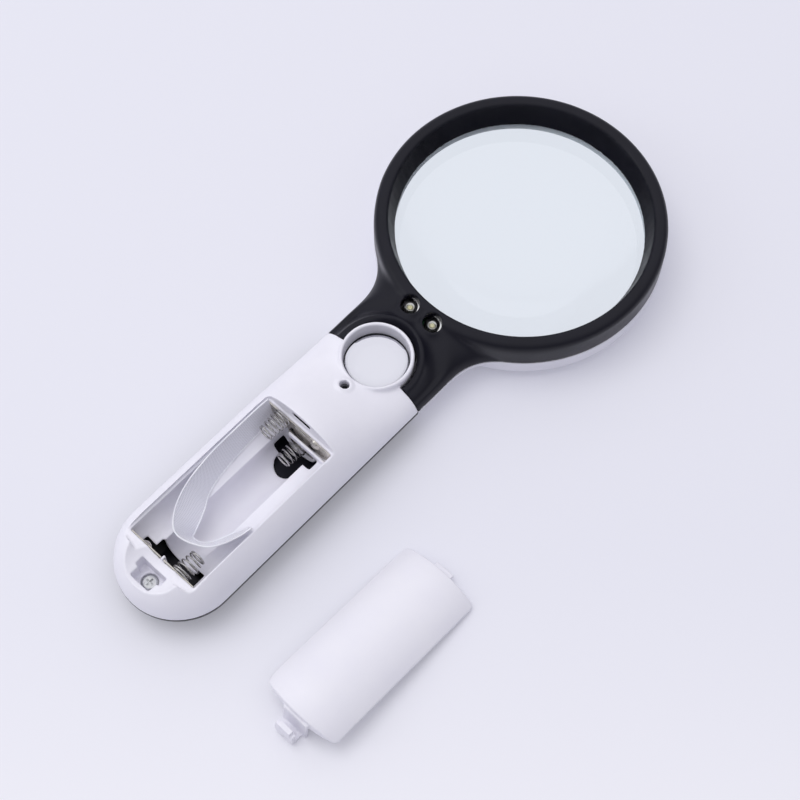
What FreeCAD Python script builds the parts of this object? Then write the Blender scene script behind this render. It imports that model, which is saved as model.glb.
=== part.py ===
"""Low vision hand magnifier: a round lens head with a second, stronger lens in its neck, three LEDs,
a slide switch and a handle that takes three slim cells under a door. It lies with the side that faces
the reader on the table, and its door lies beside it.

Frame: the origin is on the main lens's axis at the table. +X runs from the handle to the far side of the
lens, +Y to the left of that and +Z up. Millimetres.
"""
import FreeCAD, Part
import Sketcher
import math
import os
from FreeCAD import Placement, Rotation, Vector

doc = FreeCAD.newDocument("magnifier")
sheet = doc.addObject("Spreadsheet::Sheet", "sizes")

DRIVING_SIZES = {
    # whole object
    "ring_radius": 40.2,
    "handle_reach": 106.6,      # from the ring's edge to the butt
    "handle_width": 33.4,
    "parting_height": 8.6,      # the rear and front shells meet at this height
    "ring_height": 17.5,
    "neck_rise": 8.0,           # crown of the neck above the parting
    "handle_rise": 15.0,        # crown of the handle above the parting
    "belly_drop": 9.4,          # depth of the front shells' round belly, before its flat is cut
    "shell_wall": 1.3,
    "junction_behind": 18.8,    # the head meets the handle this far behind the ring's edge
    "flare_radius": 16.0,       # concave corner between ring and neck
    "rise_start": 4.0,          # the handle keeps the neck's crown this far behind the junction
    "rise_length": 27.0,        # and climbs to its own over this length
    "front_side": 4.6,          # upright side of the front ring, above its bevel
    "split_gap": 0.12,          # drawn gap between head and handle shells
    # main lens and its bezel
    "bezel_band": 3.9,          # width of the ring round the bezel's mouth
    "bezel_slope": 2.0,         # the bezel narrows this much down to the lens
    "lens_bite": 1.8,           # the lens reaches this far under the bezel's foot
    "lens_edge": 2.8,
    "lens_curve": 150.0,
    "lens_fit": 0.1,
    "lens_room": 0.6,           # the bezel's feet stand this far off the lens's edge band
    "lens_drop": 0.6,           # the lens's middle plane, below the parting
    "ring_shoulder": 2.2,
    # small lens, its holder and the neck screw
    "holder_behind": 17.1,      # the small lens's axis, behind the ring's edge
    "holder_radius": 10.0,
    "holder_top": 17.0,
    "holder_foot": 2.0,
    "holder_wall": 1.0,
    "holder_ledge": 1.2,
    "holder_gap": 0.6,
    "holder_fit": 0.1,
    "small_lens_edge": 2.0,
    "small_lens_curve": 12.6,
    "small_lens_height": 10.8,
    "neck_screw_off": 2.1,      # the neck screw's axis, behind the holder
    "neck_screw_hole": 1.35,
    # LEDs
    "led_inset": 0.2,           # the LEDs' axes, inside the ring's edge
    "led_offset": 4.0,
    "led_radius": 2.45,
    "led_straight": 3.7,
    "led_flange": 0.35,
    "led_fit": 0.15,
    "led_board_height": 9.4,
    "board_thickness": 1.0,
    # battery bay
    "door_behind": 45.1,        # the lens end of the door's recess, behind the ring's edge
    "recess_length": 53.2,
    "recess_width": 24.0,
    "recess_floor": 17.85,
    "door_fit": 0.2,
    "door_wall": 1.3,
    "recess_corner": 1.4,       # upright corners of the recess and of the door
    "tab_lip": 1.2,             # wall left over the tab's slot
    "rear_edge_bow": 2.0,       # the butt end of door and recess bows out this far
    "door_tab_width": 5.8,
    "door_tab_length": 1.7,
    "door_tab_thick": 1.1,
    "bay_inset": 0.7,           # the bay starts this far inside the recess
    "bay_length": 49.0,
    "cell_pitch": 11.7,
    "cradle_radius": 5.5,
    "cradle_height": 16.1,
    "trough_radius": 5.4,
    "trough_height": 7.4,
    "tub_wall": 0.6,
    # latch, its pocket and the butt screw
    "pocket_length": 5.4,
    "pocket_width": 8.8,
    "pocket_floor": 11.2,
    "pocket_step": 2.6,         # the pocket is full width over this length only
    "leaf_width": 6.0,          # outer leaf of the latch, and the fit for it in the pocket's narrow end
    "scoop_radius": 11.0,
    "scoop_floor": 15.6,
    "scoop_wall": 1.2,
    "latch_width": 8.0,
    "latch_leaf": 1.1,
    "latch_foot": 11.9,
    "latch_top": 18.4,
    "latch_gap": 0.12,
    # contacts and springs
    "plate_thick": 0.4,
    "spring_length": 7.0,
    "spring_radius": 2.7,
    "spring_tip_radius": 2.0,
    "spring_wire": 0.55,
    "spring_turns": 4.0,
    "bump_radius": 1.9,
    # screws
    "screw_head_radius": 2.2,
    "screw_shank_radius": 1.0,
    "butt_screw_length": 7.0,
    "boss_radius": 2.9,
    # slide switch
    "switch_behind": 37.4,      # the switch's middle, behind the ring's edge
    "switch_travel": 2.0,
    "button_length": 8.4,
    "button_width": 7.2,
    "button_low": 0.35,
    "dish_depth": 1.7,
    "switch_can_length": 10.0,
    "switch_can_width": 5.6,
    "switch_can_low": 3.4,
    "switch_can_top": 7.0,
    # ribbon and wires
    "ribbon_width": 7.0,
    "ribbon_thick": 0.4,
    "ribbon_drop": 2.6,         # the band's lower edge, below the cradles' axes
    "wire_radius": 0.6,
    # the door as it lies beside the handle
    "door_aside": 50.0,
    "door_along": 1.2,
}

# Places behind the lens's axis and sizes that follow from others.
DERIVED_SIZES = {
    "overall_length": "=2 * ring_radius + handle_reach",
    "bezel_radius": "=ring_radius - bezel_band",
    "bezel_foot_radius": "=bezel_radius - bezel_slope",
    "lens_radius": "=bezel_foot_radius + lens_bite",
    "holder_bore": "=holder_radius - holder_wall",
    "junction_back": "=ring_radius + junction_behind",
    "holder_back": "=ring_radius + holder_behind",
    "neck_screw_back": "=holder_back + holder_radius + neck_screw_off",
    "led_back": "=ring_radius - led_inset",
    "door_front_back": "=ring_radius + door_behind",
    "bay_front_back": "=door_front_back + bay_inset",
    "switch_back": "=ring_radius + switch_behind",
}

for row, (alias, entry) in enumerate((DRIVING_SIZES | DERIVED_SIZES).items(), start=1):
    sheet.set(f"A{row}", alias)
    sheet.set(f"B{row}", str(entry))
    sheet.setAlias(f"B{row}", alias)
    doc.recompute()


# ---------------------------------------------------------------- sizes that stay bound to the sheet

class Size:
    """A length from the sheet: its value now and the expression that keeps it bound."""

    def __init__(self, value, rule):
        self.value = float(value)
        self.rule = rule

    def __float__(self):
        return self.value

    def __add__(self, other):
        other = as_size(other)
        return Size(self.value + other.value, f"({self.rule} + {other.rule})")

    def __sub__(self, other):
        other = as_size(other)
        return Size(self.value - other.value, f"({self.rule} - {other.rule})")

    def __mul__(self, other):
        other = as_size(other)
        return Size(self.value * other.value, f"({self.rule} * {other.rule})")

    def __truediv__(self, other):
        other = as_size(other)
        return Size(self.value / other.value, f"({self.rule} / {other.rule})")

    def __neg__(self):
        return Size(-self.value, f"(0 - {self.rule})")

    def __radd__(self, other):
        return as_size(other) + self

    def __rsub__(self, other):
        return as_size(other) - self

    def __rmul__(self, other):
        return as_size(other) * self


def as_size(number):
    if isinstance(number, Size):
        return number
    return Size(number, f"({float(number)})")


def root(size):
    return Size(math.sqrt(size.value), f"sqrt({size.rule})")


class SheetSizes:
    """sizes.NAME gives the sheet's cell as a Size."""

    def __getattr__(self, alias):
        return Size(getattr(sheet, alias), f"sizes.{alias}")


sizes = SheetSizes()


def bind(thing, **rules):
    """Bind properties of a document object to sizes; a double underscore stands for a dot."""
    for name, size in rules.items():
        thing.setExpression(name.replace("__", "."), as_size(size).rule)
    return thing


def place(thing, x=0, y=0, z=0):
    return bind(thing, Placement__Base__x=x, Placement__Base__y=y, Placement__Base__z=z)


# ---------------------------------------------------------------- small builders

parts = []


def sub_part(thing, label):
    """Give a finished object its own label and list it for writing."""
    thing.Label = label
    parts.append(thing)
    return thing


def block(name, x, y, z):
    """Box from three (low, high) pairs."""
    box = doc.addObject("Part::Box", name)
    bind(box, Length=as_size(x[1]) - x[0], Width=as_size(y[1]) - y[0], Height=as_size(z[1]) - z[0])
    return place(box, x[0], y[0], z[0])


def rod(name, radius, x, y, z):
    """Upright cylinder at (x, y) over a (low, high) pair of heights."""
    cylinder = doc.addObject("Part::Cylinder", name)
    bind(cylinder, Radius=radius, Height=as_size(z[1]) - z[0])
    return place(cylinder, x, y, z[0])


def ball(name, radius, x, y, z):
    sphere = doc.addObject("Part::Sphere", name)
    bind(sphere, Radius=radius)
    return place(sphere, x, y, z)


def cut(name, base, tool):
    result = doc.addObject("Part::Cut", name)
    result.Base = base
    result.Tool = tool
    return result


def fuse(name, *things):
    result = doc.addObject("Part::MultiFuse", name)
    result.Shapes = list(things)
    return result


def common(name, *things):
    result = doc.addObject("Part::MultiCommon", name)
    result.Shapes = list(things)
    return result


def body(name):
    return doc.addObject("PartDesign::Body", name)


def origin_plane(owner, role):
    return next(item for item in owner.Origin.OriginFeatures if item.Role == role)


def polygon_sketch(owner, name, role, corners, offset=None):
    """Closed outline on one of the body's origin planes; each corner is a pair of sizes."""
    sketch = owner.newObject("Sketcher::SketchObject", name)
    sketch.AttachmentSupport = [(origin_plane(owner, role), "")]
    sketch.MapMode = "FlatFace"
    points = [Vector(float(u), float(v), 0) for u, v in corners]
    count = len(points)
    for index in range(count):
        sketch.addGeometry(Part.LineSegment(points[index], points[(index + 1) % count]), False)
    for index in range(count):
        sketch.addConstraint(Sketcher.Constraint("Coincident", index, 2, (index + 1) % count, 1))
    for index, corner in enumerate(corners):
        for kind, own_axis, coordinate in (("DistanceX", -2, corner[0]), ("DistanceY", -1, corner[1])):
            size = as_size(coordinate)
            if size.value == 0:
                sketch.addConstraint(Sketcher.Constraint("PointOnObject", index, 1, own_axis))
                continue
            number = sketch.addConstraint(Sketcher.Constraint(kind, -1, 1, index, 1, size.value))
            sketch.setExpression(f"Constraints[{number}]", size.rule)
    if offset is not None:
        bind(sketch, AttachmentOffset__Base__z=offset)
    return sketch


def turned(owner, name, profile):
    """Revolve an outline of (radius, height) corners about the body's own upright axis."""
    sketch = polygon_sketch(owner, name + "_outline", "XZ_Plane", profile)
    feature = owner.newObject("PartDesign::Revolution", name)
    feature.Profile = sketch
    feature.ReferenceAxis = (sketch, ["V_Axis"])
    feature.Angle = 360.0
    sketch.Visibility = False
    return feature


def padded(owner, name, role, corners, length, offset=None):
    sketch = polygon_sketch(owner, name + "_outline", role, corners, offset)
    feature = owner.newObject("PartDesign::Pad", name)
    feature.Profile = sketch
    bind(feature, Length=length)
    return feature


# ---------------------------------------------------------------- places shared by several pieces

half_width = sizes.handle_width / 2
parting = sizes.parting_height
junction_x = -sizes.junction_back
butt_centre_x = sizes.ring_radius - sizes.overall_length + half_width
holder_x = -sizes.holder_back
neck_screw_x = -sizes.neck_screw_back
led_x = -sizes.led_back
recess_front_x = -sizes.door_front_back
recess_rear_x = recess_front_x - sizes.recess_length
bay_front_x = -sizes.bay_front_back
bay_rear_x = bay_front_x - sizes.bay_length
pocket_front_x = recess_rear_x + 1.0
pocket_rear_x = pocket_front_x - sizes.pocket_length
butt_screw_x = (pocket_front_x + pocket_rear_x) / 2
bay_half_width = sizes.cell_pitch / 2 + sizes.cradle_radius
switch_x = -sizes.switch_back
lens_middle = parting - sizes.lens_drop
plate_top = sizes.recess_floor - 0.25
plate_low = sizes.cradle_height - sizes.cradle_radius + 0.4


# ---------------------------------------------------------------- shells: shapes shared by the four

def half_ellipse(x, half, rise, base):
    """Upright half-ellipse across the handle at x, above base, or below it for a negative rise."""
    left = Vector(x, half, base)
    right = Vector(x, -half, base)
    if abs(rise) > half:
        ellipse = Part.Ellipse(Vector(x, 0, base + rise), left, Vector(x, 0, base))
    else:
        ellipse = Part.Ellipse(left, Vector(x, 0, base + abs(rise)), Vector(x, 0, base))
    top = Vector(x, 0, base + rise)
    arc = Part.Arc(ellipse, ellipse.parameter(right), ellipse.parameter(left))
    edge = arc.toShape()
    if edge.distToShape(Part.Vertex(top))[0] > 0.01:
        edge = Part.Arc(ellipse, ellipse.parameter(left), ellipse.parameter(right)).toShape()
    ends = [vertex.Point for vertex in edge.Vertexes]
    return Part.Wire([edge, Part.LineSegment(ends[1], ends[0]).toShape()])


def bowed_slab(front, rear, half, low, high):
    """Upright slab whose rear end bows out to rear at its middle."""
    bow = sheet.rear_edge_bow
    radius = (half * half + bow * bow) / (2 * bow)
    slab = box_between((rear, front), (-half, half), (low, high))
    end = upright(radius, rear + radius, 0, low, high)
    rest = box_between((rear + 2 * bow, front), (-half, half), (low, high))
    whole = slab.common(end).fuse(rest).removeSplitter()
    corners = [edge for edge in whole.Edges if edge.Curve.TypeId == "Part::GeomLine"
               and abs(edge.tangentAt(edge.FirstParameter).z) > 0.99]
    return whole.makeFillet(sheet.recess_corner, corners)


def smooth_step(fraction):
    fraction = min(max(fraction, 0.0), 1.0)
    return fraction * fraction * (3 - 2 * fraction)


def neck_half_width(x):
    """Half width of the neck at the parting: straight, then flaring on an arc that meets the ring."""
    flare = sheet.flare_radius
    across = half_width.value + flare
    start = -math.sqrt((sheet.ring_radius + flare) ** 2 - across ** 2)
    if x <= start:
        return half_width.value
    return across - math.sqrt(flare ** 2 - (x - start) ** 2)


def flare_end():
    """X where the flare's arc touches the ring."""
    flare = sheet.flare_radius
    across = half_width.value + flare
    start = -math.sqrt((sheet.ring_radius + flare) ** 2 - across ** 2)
    return start * sheet.ring_radius / (sheet.ring_radius + flare)


def loft(sections):
    return Part.makeLoft(sections, True, False)


def neck_solid(inset, below):
    """Neck of the head from the junction into the ring, above or below the parting."""
    steps = 6
    start = junction_x.value
    end = flare_end()
    sections = []
    for index in range(steps + 1):
        share = index / steps
        x = start + (end - start) * share
        if below:
            rise = -(sheet.belly_drop - inset)
        else:
            climb = sheet.ring_height - parting.value - sheet.neck_rise - 0.8
            rise = sheet.neck_rise - inset + climb * share
        sections.append(half_ellipse(x, neck_half_width(x) - inset, rise, parting.value))
    return loft(sections)


def handle_solid(inset, below):
    """Handle from the junction to the round butt, above or below the parting."""
    half = half_width.value - inset
    low = sheet.neck_rise - inset
    high = sheet.handle_rise - inset
    if below:
        low = high = -(sheet.belly_drop - inset)
    start = junction_x.value
    foot = start - sheet.rise_start
    full = foot - sheet.rise_length
    steps = 8
    sections = []
    for index in range(steps + 1):
        share = index / steps
        x = foot + (full - foot) * share
        sections.append(half_ellipse(x, half, low + (high - low) * smooth_step(share), parting.value))
    climb = loft(sections)
    level = Part.Face(half_ellipse(start, half, low, parting.value)).extrude(Vector(foot - start, 0, 0))
    middle = Part.Face(half_ellipse(full, half, high, parting.value))
    middle = middle.extrude(Vector(butt_centre_x.value - full, 0, 0))
    sections = []
    for degrees in range(0, 89, 11):
        angle = math.radians(degrees)
        x = butt_centre_x.value - half * math.sin(angle)
        sections.append(half_ellipse(x, half * math.cos(angle), high * math.cos(angle), parting.value))
    butt = loft(sections)
    return level.fuse([climb, middle, butt]).removeSplitter()


def box_between(x, y, z):
    low = Vector(float(x[0]), float(y[0]), float(z[0]))
    size = Vector(float(x[1]), float(y[1]), float(z[1])) - low
    return Part.makeBox(size.x, size.y, size.z, low)


def upright(radius, x, y, low, high):
    return Part.makeCylinder(float(radius), float(high) - float(low), Vector(float(x), float(y), float(low)))


def revolved(profile):
    """Full turn about the lens's axis of an outline of (radius, height) pairs."""
    corners = [Vector(float(radius), 0, float(height)) for radius, height in profile]
    corners.append(corners[0])
    return Part.Face(Part.makePolygon(corners)).revolve(Vector(0, 0, 0), Vector(0, 0, 1), 360)


def belly_flat(length_low, length_high):
    """Everything under the table's plane, to cut the belly flat."""
    reach = sheet.ring_radius + 10
    return box_between((length_low, length_high), (-reach, reach), (-20, 0))


def shell_feature(label, shape):
    feature = doc.addObject("Part::Feature", label)
    feature.Shape = shape
    feature.Placement = Placement()
    return sub_part(feature, label)


# ---------------------------------------------------------------- rear head shell: black ring and neck

def head_rear_shell():
    top = sheet.ring_height
    shoulder = sheet.ring_shoulder
    outer = sheet.ring_radius
    groove = sheet.lens_radius + sheet.lens_fit
    groove_top = lens_middle.value + sheet.lens_edge / 2 + sheet.lens_room
    start = Vector(outer, 0, top - shoulder)
    middle = Vector(outer - shoulder * (1 - math.sqrt(0.5)), 0, top - shoulder * (1 - math.sqrt(0.5)))
    end = Vector(outer - shoulder, 0, top)
    soft = 0.5
    corners = [
        end,
        Vector(sheet.bezel_radius + soft, 0, top),
        Vector(sheet.bezel_radius, 0, top - soft),
        Vector(sheet.bezel_foot_radius, 0, groove_top),
        Vector(groove, 0, groove_top),
        Vector(groove, 0, parting.value),
        Vector(outer, 0, parting.value),
        start,
    ]
    edges = [Part.Arc(start, middle, end).toShape()]
    edges += [Part.LineSegment(a, b).toShape() for a, b in zip(corners, corners[1:])]
    ring = Part.Face(Part.Wire(edges)).revolve(Vector(0, 0, 0), Vector(0, 0, 1), 360)
    lens_void = upright(groove, 0, 0, parting.value - 1, groove_top)
    slope = Part.makeCone(sheet.bezel_foot_radius, sheet.bezel_radius, top - soft - groove_top,
                          Vector(0, 0, groove_top))
    over = upright(sheet.bezel_radius, 0, 0, top - soft, top + 20)
    neck = neck_solid(0, False).cut([lens_void, slope, over])
    hollow = neck_solid(sheet.shell_wall, False)
    hollow = hollow.cut(upright(sheet.ring_radius - 1.0, 0, 0, 0, 40))
    collar_low = sheet.led_board_height + sheet.board_thickness + 1.6
    collar = upright(sheet.holder_radius + 2.6, holder_x, 0, collar_low, 40).common(neck_solid(0, False))
    shell = ring.fuse(neck).cut(hollow).fuse(collar)
    cutters = [
        upright(sizes.holder_radius + sizes.holder_gap, holder_x, 0, 0, 40),
        Part.makeCone(sheet.holder_radius + sheet.holder_gap, sheet.holder_radius + 2.4, 2.6,
                      Vector(holder_x.value, 0, sheet.holder_top - 2.3)),
        box_between((junction_x - 5, junction_x + sizes.split_gap / 2), (-40, 40), (0, 40)),
        box_between((led_x - 3.4, led_x + 2.95), (-8, 8),
                    (0, sizes.led_board_height + sizes.board_thickness + 1.4)),
    ]
    for side in (-1, 1):
        cutters.append(upright(sizes.led_radius + sizes.led_fit, led_x, side * sheet.led_offset, 9, 40))
    return shell_feature("head_rear_shell", shell.cut(cutters).removeSplitter())


# ---------------------------------------------------------------- front head shell: white ring and neck

def head_front_shell():
    outer = sheet.ring_radius
    groove = sheet.lens_radius + sheet.lens_fit
    groove_low = lens_middle.value - sheet.lens_edge / 2 - sheet.lens_room
    bevel_top = parting.value - sheet.front_side
    profile = [
        (sheet.bezel_radius + 0.3, 0),
        (outer - 3.2, 0),
        (outer - 2.6, 0.5),
        (outer - 0.5, bevel_top - 0.6),
        (outer, bevel_top),
        (outer, parting.value),
        (groove, parting.value),
        (groove, groove_low),
        (sheet.bezel_foot_radius, groove_low),
        (sheet.bezel_radius, 0.4),
    ]
    ring = revolved(profile)
    lens_void = upright(groove, 0, 0, groove_low, parting.value + 1)
    slope = Part.makeCone(sheet.bezel_radius, sheet.bezel_foot_radius, groove_low, Vector(0, 0, 0))
    neck = neck_solid(0, True).cut([lens_void, slope, belly_flat(-80, 0)])
    hollow = neck_solid(sheet.shell_wall, True)
    hollow = hollow.cut([upright(sheet.ring_radius - 1.0, 0, 0, 0, 40),
                         belly_flat(-80, 0).translated(Vector(0, 0, sheet.shell_wall))])
    shell = ring.fuse(neck).cut(hollow)
    deck_low = parting.value - 1.9
    tongue = box_between((neck_screw_x - 2.6, junction_x + 9), (-13, 13), (deck_low, parting.value - 0.1))
    web = box_between((junction_x + 0.1, junction_x + 9), (-20, 20), (deck_low, parting.value - 0.1))
    web = web.common(neck_solid(0, True))
    posts = [upright(1.4, led_x - 4.6, side * 5.6, 1.0, sheet.led_board_height) for side in (-1, 1)]
    shell = shell.fuse([tongue, web] + posts)
    seat = sizes.holder_foot
    cutters = [
        upright(sizes.holder_radius + sizes.holder_fit, holder_x, 0, seat, 40),
        upright(sizes.holder_bore - sizes.holder_ledge, holder_x, 0, -5, 40),
        upright(sizes.screw_shank_radius + 0.2, neck_screw_x, 0, 0, 40),
        box_between((holder_x - 2.0, holder_x + 2.0), (sizes.holder_radius - 1, sizes.holder_radius + 5),
                    (deck_low - 1, 40)),
        box_between((junction_x - 20, junction_x + sizes.split_gap / 2), (-40, 40), (-1, deck_low)),
        box_between((junction_x - 20, junction_x + sizes.split_gap / 2), (13, 40), (-1, 40)),
        box_between((junction_x - 20, junction_x + sizes.split_gap / 2), (-40, -13), (-1, 40)),
    ]
    return shell_feature("head_front_shell", shell.cut(cutters).removeSplitter())


# ---------------------------------------------------------------- rear handle shell: white, with the bay

def bay_cavity(inset):
    """Room for the cells: two cradles side by side over one deep trough; a negative inset grows it."""
    front = bay_front_x.value - inset
    rear = bay_rear_x.value + inset
    cradle = sheet.cradle_radius - inset
    trough = sheet.trough_radius - inset
    pitch = sheet.cell_pitch / 2
    above = sheet.recess_floor + 12
    solids = []
    for side in (-1, 1):
        tube = Part.makeCylinder(cradle, front - rear, Vector(rear, side * pitch, sheet.cradle_height),
                                 Vector(1, 0, 0))
        solids.append(tube)
    trough_start = Vector(rear, 0, sheet.trough_height)
    solids.append(Part.makeCylinder(trough, front - rear, trough_start, Vector(1, 0, 0)))
    solids.append(box_between((rear, front), (-trough, trough), (sheet.trough_height, above)))
    solids.append(box_between((rear, front), (-pitch - cradle, pitch + cradle), (sheet.cradle_height, above)))
    return solids[0].fuse(solids[1:]).removeSplitter()


def door_tab_low():
    """Height of the door tab's underside, a lip's thickness under the crown over the slot's deep end."""
    deep_end = sheet.door_front_back - sheet.door_tab_length - 0.5
    share = (deep_end - sheet.junction_back - sheet.rise_start) / sheet.rise_length
    crown = sheet.neck_rise + (sheet.handle_rise - sheet.neck_rise) * smooth_step(share)
    return parting.value + crown - sheet.tab_lip - 0.3 - sheet.door_tab_thick


def bay_windows():
    """Openings through the bay's floor, under the springs at either end."""
    high = sizes.cradle_height - 3.7
    left_cradle = sizes.cell_pitch / 2
    right_cradle = -left_cradle
    tongue = sheet.trough_radius * 0.72
    front = bay_front_x - 1.0
    rear = bay_rear_x + 0.4
    return [
        upright(tongue, front - 4.5, -0.2, 0, high),
        box_between((front - 4.0, front), (right_cradle - 2.0, left_cradle - 0.3), (0, high)),
        box_between((rear, rear + 5.0), (right_cradle - 3.1, left_cradle + 0.2), (0, high)),
        box_between((rear, rear + 2.5), (left_cradle, left_cradle + 3.4), (0, high)),
    ]


def bay_ribs():
    """Rib before the lens-end plate, and the divider between the two plates at the butt end."""
    cradle_floor = sizes.cradle_height - sizes.cradle_radius
    front = bay_front_x - 1.1
    rib = box_between((front - 0.8, front), (-bay_half_width - 0.1, sizes.cell_pitch / 2 - 3.1),
                      (cradle_floor + 0.1, sizes.cradle_height - 3.1))
    divider = box_between((bay_rear_x - 0.1, bay_rear_x + 1.2), (-0.35, 0.35),
                          (cradle_floor + 0.8, plate_top + 0.2))
    return [rib, divider]


def handle_rear_shell():
    outer = handle_solid(0, False)
    hollow = handle_solid(sheet.shell_wall, False)
    shell = outer.cut(hollow)
    wall = sheet.tub_wall
    tub = bay_cavity(-wall)
    reach = sheet.recess_floor + 12
    pocket_box = box_between((pocket_rear_x - wall, bay_rear_x), (-sizes.pocket_width / 2 - wall,
                             sizes.pocket_width / 2 + wall), (sizes.pocket_floor - 2.2, reach))
    boss_low = parting.value + 0.1
    neck_boss = upright(sizes.neck_screw_hole + 1.0, neck_screw_x, 0, boss_low, reach)
    half = sheet.recess_width / 2
    frame = bowed_slab(recess_front_x.value + wall, recess_rear_x.value - wall, half + wall,
                       sheet.recess_floor - wall, reach)
    scoop_x = pocket_front_x.value - 2.2
    scoop_centre = Vector(scoop_x, 0, sheet.scoop_floor + sheet.scoop_radius)
    bowl = Part.makeSphere(sheet.scoop_radius + sheet.scoop_wall, scoop_centre)
    bowl = bowl.common(box_between((-200, pocket_front_x), (-30, 30), (0, 60)))
    inner_parts = [tub, pocket_box, neck_boss, frame, bowl]
    above_parting = box_between((-200, junction_x), (-30, 30), (parting, 60)).common(outer)
    under = tub.common(box_between((-200, 0), (-30, 30), (-10, parting)))
    inner = inner_parts[0].fuse(inner_parts[1:]).common(above_parting)
    shell = shell.fuse([inner, under])
    tab_half = sizes.door_tab_width / 2 + sizes.door_fit
    tab_low = door_tab_low()
    cutters = [
        bay_cavity(0),
        bowed_slab(recess_front_x.value, recess_rear_x.value, half, sheet.recess_floor, reach),
        box_between((recess_front_x - 0.5, recess_front_x + sizes.door_tab_length + 0.5),
                    (-tab_half, tab_half), (tab_low - 0.3, tab_low + sizes.door_tab_thick + 0.3)),
        Part.makeSphere(sheet.scoop_radius, scoop_centre),
        box_between((pocket_front_x - sizes.pocket_step, pocket_front_x),
                    (-sizes.pocket_width / 2, sizes.pocket_width / 2), (sizes.pocket_floor, reach)),
        box_between((pocket_rear_x, pocket_front_x),
                    (-sizes.leaf_width / 2 - 0.3, sizes.leaf_width / 2 + 0.3), (sizes.pocket_floor, reach)),
        upright(sizes.screw_head_radius + 0.15, butt_screw_x, 0, sizes.pocket_floor - 1.4, reach),
        upright(sizes.screw_shank_radius + 0.15, butt_screw_x, 0, 0, reach),
        upright(sizes.neck_screw_hole, neck_screw_x, 0, boss_low + 0.9, reach),
        upright(sizes.screw_shank_radius + 0.15, neck_screw_x, 0, 0, reach),
        upright(sizes.holder_radius + sizes.holder_fit, holder_x, 0, 0, reach),
        box_between((junction_x - sizes.split_gap / 2, 0), (-40, 40), (0, 60)),
    ]
    shell = shell.cut(cutters + bay_windows()).fuse(bay_ribs())
    return shell_feature("handle_rear_shell", shell.removeSplitter())


# ---------------------------------------------------------------- front handle shell: black

def handle_front_shell():
    outer = handle_solid(0, True).cut(belly_flat(-200, 0))
    floor = belly_flat(-200, 0).translated(Vector(0, 0, sheet.shell_wall))
    hollow = handle_solid(sheet.shell_wall, True).cut(floor)
    shell = outer.cut(hollow)
    pad_half = sizes.button_length / 2 + sizes.switch_travel + 1.2
    pad = box_between((switch_x - pad_half, switch_x + pad_half), (-sizes.button_width / 2 - 1.4,
                      sizes.button_width / 2 + 1.4), (0.5, sizes.switch_can_low - 0.1))
    deck_low = parting.value - 1.9
    bosses = [
        upright(sizes.boss_radius, butt_screw_x, 0, 0.5, sizes.pocket_floor - 2.3),
        upright(sizes.boss_radius, neck_screw_x, 0, 0.5, deck_low - 0.1),
    ]
    seat = upright(sizes.holder_radius + 1.2, holder_x, 0, 0.5, sizes.holder_foot + 1.5).common(
        box_between((-200, junction_x), (-40, 40), (0, 60)))
    inside = handle_solid(0, True).fuse(box_between((-200, 0), (-40, 40), (parting, 60)))
    shell = shell.fuse([pad] + [boss.common(inside) for boss in bosses] + [seat.common(outer)])
    dish_half = sizes.button_length / 2 + sizes.switch_travel + 0.4
    slot_half = sizes.switch_travel + 1.9
    butt_hole_foot = sizes.pocket_floor - 1.4 - sizes.butt_screw_length - 0.2
    cutters = [
        box_between((switch_x - dish_half, switch_x + dish_half), (-sizes.button_width / 2 - 0.4,
                    sizes.button_width / 2 + 0.4), (-1, sizes.dish_depth)),
        box_between((switch_x - slot_half, switch_x + slot_half), (-1.5, 1.5), (-1, 10)),
        upright(sizes.screw_shank_radius - 0.1, butt_screw_x, 0, butt_hole_foot, 40),
        upright(sizes.screw_shank_radius - 0.1, neck_screw_x, 0, 1.8, 40),
        upright(sizes.holder_radius + sizes.holder_fit, holder_x, 0, sizes.holder_foot, 40),
        upright(sizes.holder_bore - sizes.holder_ledge, holder_x, 0, -5, 40),
        box_between((junction_x - sizes.split_gap / 2, 0), (-40, 40), (-1, 60)),
    ]
    return shell_feature("handle_front_shell", shell.cut(cutters).removeSplitter())


# ---------------------------------------------------------------- lenses and holder

def lens(label, radius, edge, curve, x, middle):
    """Biconvex lens: two large spheres and a cylinder in common."""
    sag = curve - root(curve * curve - radius * radius)
    half = edge / 2 + sag
    rim = rod(label + "_rim", radius, x, 0, (middle - half, middle + half))
    upper = ball(label + "_upper", curve, x, 0, middle + half - curve)
    lower = ball(label + "_lower", curve, x, 0, middle - half + curve)
    return sub_part(common(label, rim, upper, lower), label)


def small_lens_holder():
    holder = body("holder_turned")
    outer = sizes.holder_radius
    bore = sizes.holder_bore
    ledge = bore - sizes.holder_ledge
    seat = sizes.small_lens_height - sizes.small_lens_edge / 2 - 1.05
    soft = 0.3
    turned(holder, "holder_ring", [
        (ledge, sizes.holder_foot),
        (outer, sizes.holder_foot),
        (outer, sizes.holder_top - soft),
        (outer - soft, sizes.holder_top),
        (bore + soft, sizes.holder_top),
        (bore, sizes.holder_top - soft),
        (bore, seat),
        (ledge, seat),
    ])
    place(holder, holder_x)
    window = doc.addObject("Part::Cylinder", "holder_window")
    bind(window, Radius=1.7, Height=6)
    window.Placement.Rotation = Rotation(Vector(1, 0, 0), -90)
    place(window, holder_x, outer - 3, sizes.small_lens_height - 3.2)
    return sub_part(cut("small_lens_holder", holder, window), "small_lens_holder")


# ---------------------------------------------------------------- LEDs, boards, resistors and wires

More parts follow.
